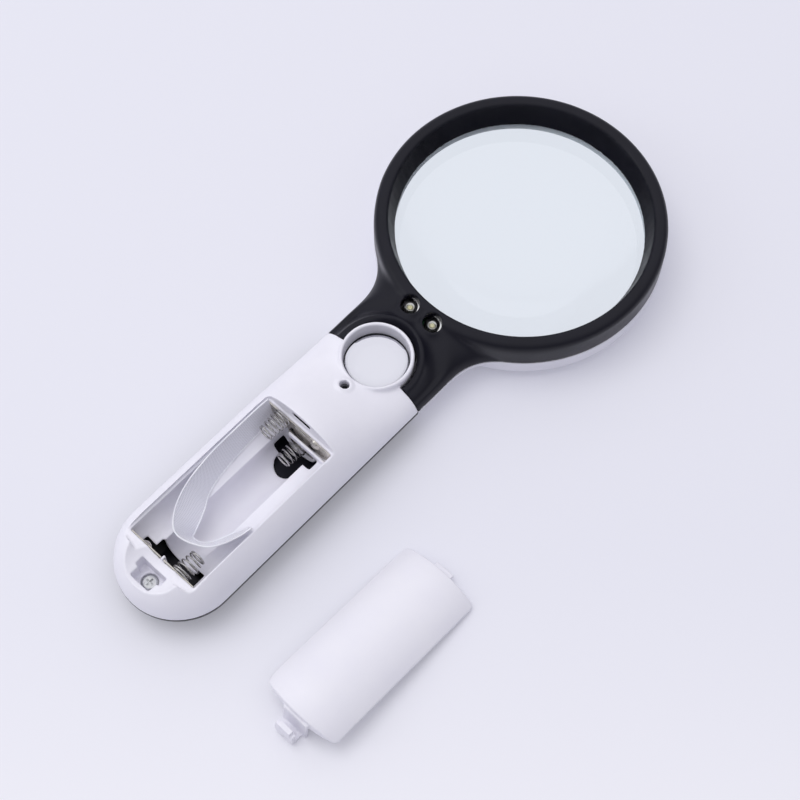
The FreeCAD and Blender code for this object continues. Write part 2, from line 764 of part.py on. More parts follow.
def led(label, side):
    """Round LED that stands on its board, with a flange and two leads."""
    y = side * sizes.led_offset
    base = sizes.led_board_height + sizes.board_thickness
    barrel = rod(label + "_barrel", sizes.led_radius, led_x, y, (base, base + sizes.led_straight))
    dome = ball(label + "_dome", sizes.led_radius, led_x, y, base + sizes.led_straight)
    flange = rod(label + "_flange", sizes.led_radius + sizes.led_flange, led_x, y, (base, base + 1.0))
    return sub_part(fuse(label, barrel, dome, flange), label)


def led_small():
    """Small LED that lies on its side and shines through the holder's window."""
    radius = 1.45
    tip = sizes.holder_radius - 0.4
    barrel = doc.addObject("Part::Cylinder", "led_small_barrel")
    bind(barrel, Radius=radius, Height=3.4)
    barrel.Placement.Rotation = Rotation(Vector(1, 0, 0), -90)
    height = sizes.small_lens_height - 3.2
    place(barrel, holder_x, tip + radius, height)
    dome = ball("led_small_dome", radius, holder_x, tip + radius, height)
    return sub_part(fuse("led_small", barrel, dome), "led_small")


def led_board():
    board = body("led_board")
    padded(board, "led_board_plate", "XY_Plane", [
        (led_x + 2.0, -7.4), (led_x + 2.0, 7.4), (led_x - 6.4, 7.4), (led_x - 6.4, -7.4),
    ], sizes.board_thickness)
    place(board, 0, 0, sizes.led_board_height)
    return sub_part(board, "led_board")


def switch_board():
    board = body("switch_board")
    padded(board, "switch_board_plate", "XY_Plane", [
        (switch_x + 5.0, -8.5), (switch_x + 5.0, 8.5), (switch_x - 5.0, 8.5), (switch_x - 5.0, -8.5),
    ], sizes.board_thickness)
    place(board, 0, 0, sizes.switch_can_top)
    return sub_part(board, "switch_board")


def resistor(label, side):
    """Axial resistor that lies across the switch's board."""
    radius = 0.9
    base = sizes.switch_can_top + sizes.board_thickness
    barrel = doc.addObject("Part::Cylinder", label)
    bind(barrel, Radius=radius, Height=4.2)
    barrel.Placement.Rotation = Rotation(Vector(0, 1, 0), 90)
    place(barrel, switch_x - 2.1, side * 5.4, base + radius)
    return sub_part(barrel, label)


def rounded_path(points, radius):
    """Straight runs joined by tangent arcs."""
    edges = []
    start = points[0]
    for before, corner, after in zip(points, points[1:], points[2:]):
        inward = (before - corner).normalize()
        outward = (after - corner).normalize()
        half_turn = inward.getAngle(outward) / 2
        back = radius / math.tan(half_turn)
        first = corner + inward * back
        last = corner + outward * back
        bisector = (inward + outward).normalize()
        centre = corner + bisector * (radius / math.sin(half_turn))
        middle = centre - bisector * radius
        edges.append(Part.LineSegment(start, first).toShape())
        edges.append(Part.Arc(first, middle, last).toShape())
        start = last
    edges.append(Part.LineSegment(start, points[-1]).toShape())
    return Part.Wire(edges)


def wire(label, side):
    """Insulated wire from the switch's board, round the small lens holder, to the LED board."""
    height = parting.value + 1.6
    board_top = sheet.switch_can_top + sheet.board_thickness
    aside = sheet.holder_radius + 2.2
    points = [
        Vector(switch_x.value + 3.6, side * 7.0, board_top),
        Vector(switch_x.value + 3.6, side * 7.0, height),
        Vector(holder_x.value - 8.0, side * aside, height),
        Vector(holder_x.value + 7.0, side * aside, height + 0.4),
        Vector(led_x.value - 5.2, side * 6.6, sheet.led_board_height + sheet.board_thickness + 1.8),
        Vector(led_x.value - 5.2, side * 6.6, sheet.led_board_height + sheet.board_thickness),
    ]
    path = rounded_path(points, sheet.wire_radius * 1.4)
    section = Part.Wire(Part.Circle(points[0], Vector(0, 0, 1), sheet.wire_radius).toShape())
    feature = doc.addObject("Part::Feature", label)
    feature.Shape = path.makePipeShell([section], True, False)
    return sub_part(feature, label)


# ---------------------------------------------------------------- slide switch

def switch_button():
    """Ribbed slider in the dish of the front handle shell, with a stem through its slot."""
    button = body("switch_button")
    half = sizes.button_length / 2
    low = sizes.button_low
    top = sizes.dish_depth - 0.2
    rib = sizes.button_length / 9
    outline = [(-half, low), (-half, top), (half, top), (half, low)]
    for number in range(4):
        right = half - rib * (2 * number + 1)
        outline += [(right, low), (right - rib * 0.2, low + 0.6)]
        outline += [(right - rib * 0.8, low + 0.6), (right - rib, low)]
    cap = padded(button, "button_cap", "XZ_Plane", outline, sizes.button_width)
    cap.Midplane = True
    stem = padded(button, "button_stem", "XY_Plane", [(1.5, 1.2), (-1.5, 1.2), (-1.5, -1.2), (1.5, -1.2)],
                  sizes.switch_can_low - 0.4 - top, offset=top)
    place(button, switch_x)
    return sub_part(button, "switch_button")


def switch_lever():
    low = sizes.switch_can_low - 0.4
    lever = block("switch_lever", (switch_x - 1.5, switch_x + 1.5), (-1.2, 1.2), (low, low + 1.5))
    return sub_part(lever, "switch_lever")


def switch_can():
    """Metal can of the slide switch, open below for its lever."""
    half = sizes.switch_can_length / 2
    side = sizes.switch_can_width / 2
    can = block("switch_can_block", (switch_x - half, switch_x + half), (-side, side),
                (sizes.switch_can_low, sizes.switch_can_top))
    reach = sizes.switch_travel + 1.8
    channel = block("switch_can_channel", (switch_x - reach, switch_x + reach), (-1.5, 1.5),
                    (sizes.switch_can_low - 1, sizes.switch_can_low + 1.4))
    return sub_part(cut("switch_can", can, channel), "switch_can")


# ---------------------------------------------------------------- contacts

def contacts():
    thick = sizes.plate_thick
    pitch = sizes.cell_pitch / 2
    side = bay_half_width - 0.35
    rise = 0.9
    front = (bay_front_x - thick, bay_front_x)
    rear = (bay_rear_x, bay_rear_x + thick)
    upper = (plate_low, plate_top)
    deep = (sizes.trough_height - 3.4, plate_low - 0.6)
    narrow = (-sizes.trough_radius + 1.2, sizes.trough_radius - 1.2)
    reach_front = bay_front_x - thick - rise + sizes.bump_radius
    reach_rear = bay_rear_x + thick + rise - sizes.bump_radius

    room = doc.addObject("Part::Feature", "bay_room")
    room.Shape = bay_cavity(0.05)
    wholes = {
        "contact_far_upper": [
            block("far_upper_plate", front, (-side, side), upper),
            ball("far_upper_bump", sizes.bump_radius, reach_front, -pitch, sizes.cradle_height),
        ],
        "contact_far_lower": [
            block("far_lower_plate", front, narrow, deep),
            block("far_lower_foot", front, (-1.5, 1.5), (deep[0] - 0.8, deep[0] + 0.01)),
        ],
        "contact_near_right": [
            block("near_right_plate", rear, (-side, -0.5), upper),
            block("near_right_leg", rear, narrow, (deep[0], plate_low + 0.01)),
            ball("near_right_bump", sizes.bump_radius, reach_rear, 0, sizes.trough_height),
        ],
        "contact_near_left": [
            block("near_left_plate", rear, (0.5, side), (plate_low + 0.6, plate_top)),
            ball("near_left_bump", sizes.bump_radius, reach_rear, pitch, sizes.cradle_height),
        ],
    }
    for label, pieces in wholes.items():
        whole = fuse(label + "_whole", *pieces)
        sub_part(common(label, whole, room), label)


# ---------------------------------------------------------------- springs

def spring(label, root_x, y, z, direction):
    """Conical coil on its plate, and the closed coil at its tip that the cell pushes."""
    wire_size = sheet.spring_wire
    length = sheet.spring_length - 2 * wire_size
    turns = sheet.spring_turns
    height = length - wire_size
    slope = math.degrees(math.atan((sheet.spring_tip_radius - sheet.spring_radius) / height))
    helix = Part.makeLongHelix(height / turns, height, sheet.spring_radius, slope)
    circle = Part.Circle(Vector(sheet.spring_radius, 0, 0), Vector(0, 1, 0), wire_size / 2)
    section = Part.Wire(circle.toShape())
    coil = Part.Wire(helix.Edges).makePipeShell([section], True, True)
    coil_feature = doc.addObject("Part::Feature", label)
    coil_feature.Shape = coil
    tilt = Rotation(Vector(0, 0, 1), Vector(direction, 0, 0))
    start = root_x + direction * wire_size / 2
    coil_feature.Placement = Placement(Vector(start + direction * 0.02, y, z), tilt)
    sub_part(coil_feature, label)
    tip = doc.addObject("Part::Torus", label + "_tip")
    bind(tip, Radius1=sizes.spring_tip_radius, Radius2=sizes.spring_wire / 2)
    tip.Placement.Rotation = tilt
    place(tip, start + direction * (height + wire_size * 1.2), y, z)
    return sub_part(tip, label + "_tip")


def springs():
    pitch = sheet.cell_pitch / 2
    front_face = bay_front_x.value - sheet.plate_thick
    rear_face = bay_rear_x.value + sheet.plate_thick
    spring("spring_far_upper", front_face, pitch, sheet.cradle_height, -1)
    spring("spring_far_lower", front_face, 0.0, sheet.trough_height, -1)
    spring("spring_near_right", rear_face, -pitch, sheet.cradle_height, 1)


# ---------------------------------------------------------------- ribbon

def battery_ribbon():
    """Stand-in for the lifting tape: a band on edge down the left wall and across to the right one."""
    front = bay_front_x.value
    rear = bay_rear_x.value
    route = [
        (front - 1.4, 10.4), (front - 14.0, 10.2), (front - 27.0, 8.6), (rear + 14.5, 3.0),
        (rear + 10.4, -4.0), (rear + 9.4, -10.6),
    ]
    half = sheet.ribbon_thick / 2
    solids = []
    low = sheet.cradle_height - sheet.ribbon_drop
    for (x0, y0), (x1, y1) in zip(route, route[1:]):
        along = Vector(x1 - x0, y1 - y0, 0).normalize()
        across = Vector(-along.y, along.x, 0) * half
        corners = [Vector(x0, y0, low) + across, Vector(x1, y1, low) + across,
                   Vector(x1, y1, low) - across, Vector(x0, y0, low) - across]
        face = Part.Face(Part.makePolygon(corners + [corners[0]]))
        solids.append(face.extrude(Vector(0, 0, sheet.ribbon_width)))
    for x, y in route[1:-1]:
        solids.append(Part.makeCylinder(half, sheet.ribbon_width, Vector(x, y, low)))
    feature = doc.addObject("Part::Feature", "battery_ribbon")
    feature.Shape = solids[0].fuse(solids[1:]).removeSplitter()
    return sub_part(feature, "battery_ribbon")


# ---------------------------------------------------------------- door and latch

def door_placement():
    """From the door's place on the handle to where it lies: aside, pitched on its far edge and latch."""
    front = recess_front_x.value - sheet.door_fit
    drop = sheet.recess_floor + 0.05 - sheet.latch_foot
    pitch = math.degrees(math.atan2(drop, front - (pocket_front_x.value - sheet.door_fit)))
    turn = Rotation(Vector(0, 1, 0), pitch)
    edge = Vector(front, 0, sheet.recess_floor + 0.05)
    target = Vector(front - sheet.door_along, -sheet.door_aside, 0.02)
    return Placement(target - turn.multVec(edge), turn)


def lies_aside(feature):
    feature.Placement = door_placement()
    return feature


def latch_outer_x():
    """Butt side of the latch's outer leaf, in the door's place on the handle."""
    return pocket_rear_x.value + sheet.door_fit + 0.3


def battery_door():
    fit = sheet.door_fit
    front = recess_front_x.value - fit
    rear = recess_rear_x.value + fit
    half = sheet.recess_width / 2 - fit
    low = sheet.recess_floor + 0.05
    panel = handle_solid(0, False).common(bowed_slab(front, rear, half, low, 60))
    inside = handle_solid(sheet.door_wall, False)
    panel = panel.cut(inside.common(bowed_slab(front - 0.8, rear + 0.8, half, 0, 60)))
    tab_low = door_tab_low()
    tab_half = sheet.door_tab_width / 2
    tab = box_between((front - 1.6, front + sheet.door_fit + sheet.door_tab_length), (-tab_half, tab_half),
                      (tab_low, tab_low + sheet.door_tab_thick))
    web = box_between((front - 1.6, front), (-tab_half, tab_half), (tab_low, 60))
    web = web.common(handle_solid(0, False))
    leaf = sheet.latch_leaf
    wide = sheet.latch_width / 2
    leaf_half = sheet.leaf_width / 2
    leg_front = pocket_front_x.value - sheet.door_fit
    inner_leg = box_between((leg_front - leaf, leg_front), (-wide, wide), (sheet.latch_foot, low + 2.0))
    bend = box_between((latch_outer_x(), leg_front), (-leaf_half, leaf_half),
                       (sheet.latch_foot, sheet.latch_foot + leaf))
    feature = doc.addObject("Part::Feature", "battery_door")
    feature.Shape = panel.fuse([tab, web, inner_leg, bend]).removeSplitter()
    return sub_part(lies_aside(feature), "battery_door")


def door_latch():
    """Outer leaf of the snap with its two hooks and thumb tab; it bends at its foot."""
    leaf = sheet.latch_leaf
    wide = sheet.leaf_width / 2
    outer_x = latch_outer_x()
    low = sheet.latch_foot + leaf + sheet.latch_gap
    upright_leaf = box_between((outer_x, outer_x + leaf), (-wide, wide), (low, sheet.latch_top - 1.2))
    thumb = box_between((outer_x - 0.3, outer_x + leaf), (-wide + 0.9, wide - 0.9),
                        (sheet.latch_top - 2.6, sheet.latch_top))
    hook_corners = [Vector(outer_x, -wide, 15.0), Vector(outer_x - 0.35, -wide, 15.0),
                    Vector(outer_x, -wide, 16.8)]
    hooks = Part.Face(Part.makePolygon(hook_corners + [hook_corners[0]])).extrude(Vector(0, 2 * wide, 0))
    feature = doc.addObject("Part::Feature", "door_latch")
    feature.Shape = upright_leaf.fuse([thumb, hooks]).removeSplitter()
    return sub_part(lies_aside(feature), "door_latch")


# ---------------------------------------------------------------- screws

def screw(label, x, seat, head_radius, length):
    """Pan-head thread-forming screw with a cross recess."""
    whole = body(label)
    shank = sizes.screw_shank_radius - 0.15
    head = 1.2
    turned(whole, label + "_turned", [
        (0, -length), (shank * 0.4, -length), (shank, shank - length), (shank, 0),
        (head_radius, 0), (head_radius, head - 0.5), (head_radius - 0.5, head), (0, head),
    ])
    doc.recompute()
    for index, (along, across) in enumerate(((1.1, 0.24), (0.24, 1.1))):
        slot = polygon_sketch(whole, f"{label}_slot{index}", "XY_Plane", [
            (-along, -across), (along, -across), (along, across), (-along, across)], offset=head + 0.1)
        pocket = whole.newObject("PartDesign::Pocket", f"{label}_recess{index}")
        pocket.Profile = slot
        pocket.Length = 0.8
        pocket.Reversed = False
    place(whole, x, 0, seat)
    return sub_part(whole, label)


# ---------------------------------------------------------------- build, check and write

def build():
    head_rear_shell()
    head_front_shell()
    handle_rear_shell()
    handle_front_shell()
    lens("main_lens", sizes.lens_radius, sizes.lens_edge, sizes.lens_curve, 0, lens_middle)
    lens("small_lens", sizes.holder_bore - sizes.holder_fit, sizes.small_lens_edge, sizes.small_lens_curve,
         holder_x, sizes.small_lens_height)
    small_lens_holder()
    led("led_left", 1)
    led("led_right", -1)
    led_small()
    led_board()
    switch_board()
    resistor("resistor_left", 1)
    resistor("resistor_right", -1)
    wire("wire_left", 1)
    wire("wire_right", -1)
    switch_can()
    switch_lever()
    switch_button()
    contacts()
    springs()
    battery_ribbon()
    battery_door()
    door_latch()
    screw("screw_butt", butt_screw_x, sizes.pocket_floor - 1.4, sizes.screw_head_radius,
          sizes.butt_screw_length)
    screw("screw_neck", neck_screw_x, parting + 1.0, sizes.neck_screw_hole - 0.1, 6.5)
    doc.recompute()


def check():
    for item in doc.Objects:
        if "Invalid" in item.State or "Error" in item.State:
            raise RuntimeError(f"{item.Label} failed: {item.State}")
    for item in parts:
        if item.Shape.isNull() or not item.Shape.isValid():
            raise RuntimeError(f"{item.Label} has no valid shape")
        if not item.Shape.Solids:
            raise RuntimeError(f"{item.Label} holds no solid")


def write():
    os.makedirs("parts", exist_ok=True)
    for item in parts:
        item.Shape.exportStep(f"parts/{item.Label}.step")
        box = item.Shape.optimalBoundingBox(False, False)
        print(f"{item.Label}: {len(item.Shape.Solids)} solid, {item.Shape.Volume:.1f} mm3, "
              f"x {box.XMin:.1f} {box.XMax:.1f}, y {box.YMin:.1f} {box.YMax:.1f}, "
              f"z {box.ZMin:.1f} {box.ZMax:.1f}")


build()
check()
write()
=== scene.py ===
"""Looks for the low vision magnifier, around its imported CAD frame. Metres; +Z up, the table at 0."""
import bmesh
import bpy
import math
from mathutils import Matrix, Quaternion, Vector


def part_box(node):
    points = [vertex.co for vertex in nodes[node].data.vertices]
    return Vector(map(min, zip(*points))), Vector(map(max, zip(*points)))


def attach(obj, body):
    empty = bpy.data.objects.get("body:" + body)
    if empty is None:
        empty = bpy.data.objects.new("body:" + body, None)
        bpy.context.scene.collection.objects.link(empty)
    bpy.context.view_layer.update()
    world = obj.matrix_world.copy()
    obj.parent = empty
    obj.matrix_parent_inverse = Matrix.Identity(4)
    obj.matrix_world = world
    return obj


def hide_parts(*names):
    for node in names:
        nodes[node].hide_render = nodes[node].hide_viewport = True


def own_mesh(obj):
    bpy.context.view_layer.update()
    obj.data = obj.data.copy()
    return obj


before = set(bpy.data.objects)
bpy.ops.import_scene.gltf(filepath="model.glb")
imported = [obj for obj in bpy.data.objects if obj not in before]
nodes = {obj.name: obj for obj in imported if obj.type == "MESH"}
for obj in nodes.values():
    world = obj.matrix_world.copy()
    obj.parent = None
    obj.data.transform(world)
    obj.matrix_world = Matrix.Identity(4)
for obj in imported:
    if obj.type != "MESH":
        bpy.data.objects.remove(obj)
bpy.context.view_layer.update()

MM = 0.001


# ---------------------------------------------------------------- camera

CAMERA_PLACE = Vector((-204.1, -144.8, 437.0)) * MM
CAMERA_LOOK = Vector((0.3063, 0.2844, -0.9085))
CAMERA_ROLL = math.radians(0.25)
CAMERA_LENS = 80.26

camera_data = bpy.data.cameras.new("camera")
camera_data.lens = CAMERA_LENS
camera_data.sensor_width = 36
camera = bpy.data.objects.new("camera", camera_data)
camera.location = CAMERA_PLACE
camera.rotation_mode = "QUATERNION"
level = CAMERA_LOOK.to_track_quat("-Z", "Y")
camera.rotation_quaternion = level @ Quaternion((0, 0, 1), CAMERA_ROLL)
camera_data.clip_start = 0.01
camera_data.clip_end = 20
bpy.context.collection.objects.link(camera)
bpy.context.scene.camera = camera
bpy.context.scene.view_settings.view_transform = "Standard"


# ---------------------------------------------------------------- material building

def new_material(name):
    material = bpy.data.materials.new(name)
    material.use_nodes = True
    tree = material.node_tree
    return material, tree, tree.nodes["Principled BSDF"]


def noise(tree, scale, detail=2.0, rough=0.5):
    """Fine irregular values, even in every direction, in the piece's own space."""
    node = tree.nodes.new("ShaderNodeTexNoise")
    node.inputs["Scale"].default_value = scale
    node.inputs["Detail"].default_value = detail
    node.inputs["Roughness"].default_value = rough
    place = tree.nodes.new("ShaderNodeTexCoord").outputs["Object"]
    tree.links.new(place, node.inputs["Vector"])
    return node.outputs["Fac"]


def spread(tree, value, low, high):
    """Map a 0.35 to 0.65 noise onto a range of values."""
    node = tree.nodes.new("ShaderNodeMapRange")
    node.inputs["From Min"].default_value = 0.35
    node.inputs["From Max"].default_value = 0.65
    node.inputs["To Min"].default_value = low
    node.inputs["To Max"].default_value = high
    tree.links.new(value, node.inputs["Value"])
    return node.outputs["Result"]


def two_colours(tree, value, first, second):
    """The first colour where the value is nought and the second where it is one."""
    node = tree.nodes.new("ShaderNodeMix")
    node.data_type = "RGBA"
    tree.links.new(value, node.inputs["Factor"])
    node.inputs["A"].default_value = (*first, 1)
    node.inputs["B"].default_value = (*second, 1)
    return node.outputs["Result"]


def bump(tree, height, distance, strength=1.0, normal=None):
    node = tree.nodes.new("ShaderNodeBump")
    node.inputs["Distance"].default_value = distance
    node.inputs["Strength"].default_value = strength
    tree.links.new(height, node.inputs["Height"])
    if normal is not None:
        tree.links.new(normal, node.inputs["Normal"])
    return node.outputs["Normal"]


def soft_edges(tree, radius):
    """Rounds the edges' shading, as a mould's small radii do."""
    node = tree.nodes.new("ShaderNodeBevel")
    node.samples = 8
    node.inputs["Radius"].default_value = radius
    return node.outputs["Normal"]


MOULD_EDGE = 0.0002         # radius of an edge's shading, in metres
METAL_EDGE = 0.0001

# Scales of the noise textures: a larger one is finer.
MOULD_CLOUDS = 90
MOULD_GLOSS = 160
MOULD_GRAIN = 2600
METAL_CLOUDS = 500
CLEAR_GLOSS = 60
THREAD_GLOSS = 300


def moulded_plastic(name, colour, shade, rough, grain=0.00003, gloss=0.5):
    """Moulded skin: faint cloudiness, a fine spark-eroded grain and uneven gloss."""
    material, tree, shader = new_material(name)
    cloud = spread(tree, noise(tree, MOULD_CLOUDS, 3), 0, 1)
    tree.links.new(two_colours(tree, cloud, colour, shade), shader.inputs["Base Color"])
    gloss_cloud = spread(tree, noise(tree, MOULD_GLOSS, 4), rough - 0.04, rough + 0.05)
    tree.links.new(gloss_cloud, shader.inputs["Roughness"])
    fine = noise(tree, MOULD_GRAIN, 2, 0.6)
    tree.links.new(bump(tree, fine, grain, 0.5, soft_edges(tree, MOULD_EDGE)), shader.inputs["Normal"])
    shader.inputs["Specular IOR Level"].default_value = gloss
    return material


def metal(name, colour, shade, rough, scale=900):
    """Plated metal with faint drawn scratches and cloudy gloss."""
    material, tree, shader = new_material(name)
    shader.inputs["Metallic"].default_value = 1.0
    cloud = spread(tree, noise(tree, METAL_CLOUDS, 3), 0, 1)
    tree.links.new(two_colours(tree, cloud, colour, shade), shader.inputs["Base Color"])
    gloss_cloud = spread(tree, noise(tree, scale, 4), rough - 0.06, rough + 0.08)
    tree.links.new(gloss_cloud, shader.inputs["Roughness"])
    scratches = bump(tree, noise(tree, scale * 3, 3), 0.00002, 0.4, soft_edges(tree, METAL_EDGE))
    tree.links.new(scratches, shader.inputs["Normal"])
    return material


def clear_plastic(name, colour, rough, ior):
    """Clear moulding. Shadow rays pass it, so what lies under it is lit."""
    material, tree, shader = new_material(name)
    shader.inputs["Base Color"].default_value = (*colour, 1)
    shader.inputs["Transmission Weight"].default_value = 1.0
    shader.inputs["IOR"].default_value = ior
    gloss_cloud = spread(tree, noise(tree, CLEAR_GLOSS, 2), rough, rough + 0.01)
    tree.links.new(gloss_cloud, shader.inputs["Roughness"])
    path = tree.nodes.new("ShaderNodeLightPath")
    through = tree.nodes.new("ShaderNodeBsdfTransparent")
    through.inputs["Color"].default_value = (*colour, 1)
    mix = tree.nodes.new("ShaderNodeMixShader")
    tree.links.new(path.outputs["Is Shadow Ray"], mix.inputs["Fac"])
    tree.links.new(shader.outputs["BSDF"], mix.inputs[1])
    tree.links.new(through.outputs["BSDF"], mix.inputs[2])
    tree.links.new(mix.outputs["Shader"], tree.nodes["Material Output"].inputs["Surface"])
    return material


white = moulded_plastic("white_plastic", (0.85, 0.84, 0.905), (0.825, 0.815, 0.885), 0.36)
door_white = moulded_plastic("door_plastic", (0.845, 0.835, 0.895), (0.825, 0.815, 0.885), 0.40)
black = moulded_plastic("black_plastic", (0.006, 0.006, 0.012), (0.005, 0.005, 0.010), 0.33, gloss=0.27)
lens_clear = clear_plastic("lens_acrylic", (0.945, 0.997, 1.0), 0.0, 1.49)
# The index of the small lens is below acrylic's, so that its edge stays clear, as in the photograph.
small_clear = clear_plastic("small_lens_acrylic", (0.93, 0.932, 0.955), 0.0, 1.32)
epoxy = clear_plastic("led_epoxy", (0.97, 0.97, 0.93), 0.02, 1.5)
plate_metal = metal("plated_contact", (0.68, 0.65, 0.59), (0.60, 0.57, 0.51), 0.26, 300)
wire_metal = metal("spring_wire", (0.66, 0.65, 0.64), (0.42, 0.41, 0.40), 0.2)
screw_metal = metal("screw_steel", (0.74, 0.75, 0.75), (0.56, 0.57, 0.57), 0.3)
can_metal = metal("switch_can", (0.6, 0.6, 0.62), (0.5, 0.5, 0.52), 0.35)
board_green = moulded_plastic("solder_mask", (0.03, 0.16, 0.07), (0.02, 0.12, 0.05), 0.3)
resistor_tan = moulded_plastic("resistor_body", (0.55, 0.42, 0.26), (0.48, 0.36, 0.2), 0.4)
wire_red = moulded_plastic("wire_red", (0.45, 0.03, 0.03), (0.4, 0.02, 0.02), 0.45)
wire_black = moulded_plastic("wire_black", (0.02, 0.02, 0.02), (0.03, 0.03, 0.03), 0.45)


def finish_nodes(material, *names):
    """Give CAD nodes one material in place of what they came with."""
    for name in names:
        nodes[name].data.materials.clear()
        nodes[name].data.materials.append(material)


finish_nodes(black, "head_rear_shell", "handle_front_shell", "switch_lever")
finish_nodes(white, "head_front_shell", "handle_rear_shell", "small_lens_holder", "switch_button")
finish_nodes(door_white, "battery_door", "door_latch")
finish_nodes(lens_clear, "main_lens")
finish_nodes(small_clear, "small_lens")
finish_nodes(epoxy, "led_left", "led_right", "led_small")
finish_nodes(plate_metal, "contact_far_upper", "contact_far_lower", "contact_near_right",
             "contact_near_left")
finish_nodes(screw_metal, "screw_butt", "screw_neck")
finish_nodes(can_metal, "switch_can")
finish_nodes(board_green, "led_board", "switch_board")
finish_nodes(resistor_tan, "resistor_left", "resistor_right")
finish_nodes(wire_red, "wire_left")
finish_nodes(wire_black, "wire_right")
finish_nodes(wire_metal, "spring_far_upper_tip", "spring_far_lower_tip", "spring_near_right_tip")


# ---------------------------------------------------------------- piece building

def mm(x, y, z):
    """A place given in millimetres."""
    return Vector((x, y, z)) * MM


def piece_of(name, verts, faces, material, body="frame", smooth=True):
    """Mesh piece that rides on a body; places are in metres in the row frame."""
    mesh = bpy.data.meshes.new(name)
    mesh.from_pydata([tuple(v) for v in verts], [], faces)
    mesh.update()
    piece = bpy.data.objects.new(name, mesh)
    bpy.context.collection.objects.link(piece)
    mesh.materials.append(material)
    mesh.shade_smooth() if smooth else mesh.shade_flat()
    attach(piece, body)
    return piece


def bake(piece):
    """Apply a piece's modifiers to its mesh."""
    graph = bpy.context.evaluated_depsgraph_get()
    baked = bpy.data.meshes.new_from_object(piece.evaluated_get(graph))
    piece.modifiers.clear()
    piece.data = baked
    return piece


def step(value, low, high):
    """Nought below low and one above high, with a smooth passage between."""
    share = min(max((value - low) / (high - low), 0.0), 1.0)
    return share * share * (3 - 2 * share)


WEB_RADIUS = 0.9


def remoulded(name, sources, voxel, passes, material, body="frame", webs=()):
    """CAD shells as one moulding with small radii: joined, remeshed evenly and smoothed.

    voxel is in millimetres. Each web is a place in millimetres that a small ball of plastic
    fills behind the skin.
    """
    joined = bmesh.new()
    for source in sources:
        joined.from_mesh(nodes[source].data)
    for place in webs:
        bmesh.ops.create_icosphere(joined, subdivisions=2, radius=WEB_RADIUS * MM,
                                   matrix=Matrix.Translation(mm(*place)))
    mesh = bpy.data.meshes.new(name)
    joined.to_mesh(mesh)
    joined.free()
    piece = bpy.data.objects.new(name, mesh)
    bpy.context.collection.objects.link(piece)
    remesh = piece.modifiers.new("even", "REMESH")
    remesh.mode = "VOXEL"
    remesh.voxel_size = voxel * MM
    soften = piece.modifiers.new("soften", "SMOOTH")
    soften.factor = 0.5
    soften.iterations = passes
    bake(piece)
    piece.data.materials.clear()
    piece.data.materials.append(material)
    piece.data.shade_smooth()
    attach(piece, body)
    for source in sources:
        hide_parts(source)
    return piece


def smooth_where(piece, weight, passes):
    """Smooth a piece where weight(x, y, z), in millimetres, is above nothing."""
    group = piece.vertex_groups.new(name="soft")
    for vertex in piece.data.vertices:
        share = weight(*(vertex.co / MM))
        if share > 0.01:
            group.add([vertex.index], share, "REPLACE")
    soften = piece.modifiers.new("blend", "SMOOTH")
    soften.factor = 0.5
    soften.iterations = passes
    soften.vertex_group = "soft"
    bake(piece)
    piece.data.shade_smooth()


# ---------------------------------------------------------------- mouldings, with the sculpted neck

# Axes of the CAD's holder, neck screw and LEDs, and radii about them, in millimetres.
HOLDER = Vector((-57.3, 0))
NECK_SCREW = Vector((-69.4, 0))
LED_PLACES = (Vector((-40.0, 4.0)), Vector((-40.0, -4.0)))
BEZEL_EDGE = 36.8           # the mouth of the bezel, about the main lens
LIP_RADIUS = 12.3           # soft lip round the small lens's holder
LIP_WIDTH = 0.85
LIP_RISE = 0.6
VALLEY_RADIUS = 15.6        # shallow valley outside the lip
VALLEY_WIDTH = 2.2
VALLEY_DEPTH = 1.5
LOBE_RISE = 0.4             # low lobe of the holder's rim round the neck screw


def free_of_holes(x, y, z):
    """Nought at the bezel, at the LEDs' holes and low on the shell, one on its open skin."""
    place = Vector((x, y))
    from_led = min((place - led).length for led in LED_PLACES)
    return step(from_led, 2.9, 4.2) * step(place.length - BEZEL_EDGE, 0.3, 1.6) * step(z, 11.0, 13.0)


def neck_crease(x, y, z):
    """Where the neck runs into the ring, outside the holder."""
    place = Vector((x, y))
    from_holder = (place - HOLDER).length
    return (free_of_holes(x, y, z) * step(-x, 16, 24) * step(from_holder, 12.4, 14.0)
            * (1 - step(place.length - BEZEL_EDGE, 7.0, 12.0)))


def sculpt_neck(piece):
    """Raise a lip round the holder, sink a valley outside it and blend the ring into the neck."""
    for vertex in piece.data.vertices:
        x, y, z = vertex.co / MM
        from_holder = (Vector((x, y)) - HOLDER).length
        on_neck = free_of_holes(x, y, z) * step(-x, 30, 38) * step(from_holder, 10.9, 11.6)
        lip = LIP_RISE * math.exp(-((from_holder - LIP_RADIUS) / LIP_WIDTH) ** 2)
        valley = VALLEY_DEPTH * math.exp(-((from_holder - VALLEY_RADIUS) / VALLEY_WIDTH) ** 2)
        vertex.co.z += on_neck * (lip - valley) * MM
    smooth_where(piece, neck_crease, passes=70)


def holder_seam(x, y, z):
    """Where the holder's rim runs out into the handle: round the rim, away from its bore."""
    from_holder = (Vector((x, y)) - HOLDER).length
    from_screw = (Vector((x, y)) - NECK_SCREW).length
    return (step(-x, 58.0, 61.0) * step(from_holder, 9.6, 10.0) * (1 - step(from_holder, 11.5, 13.5))
            * step(from_screw, 1.2, 1.9) * step(z, 12.5, 14.0))


def raise_screw_lobe(piece):
    """Swell the skin round the neck screw into a low lobe of the holder's rim."""
    for vertex in piece.data.vertices:
        x, y, z = vertex.co / MM
        from_screw = (Vector((x, y)) - NECK_SCREW).length
        vertex.co.z += LOBE_RISE * (1 - step(from_screw, 1.7, 3.0)) * step(z, 13.0, 14.5) * MM


# The scoop's bowl thins the skin at these two corners behind the latch pocket.
SCOOP_CORNERS = [(-137.2, 5.6, 16.2), (-137.2, -5.6, 16.2)]

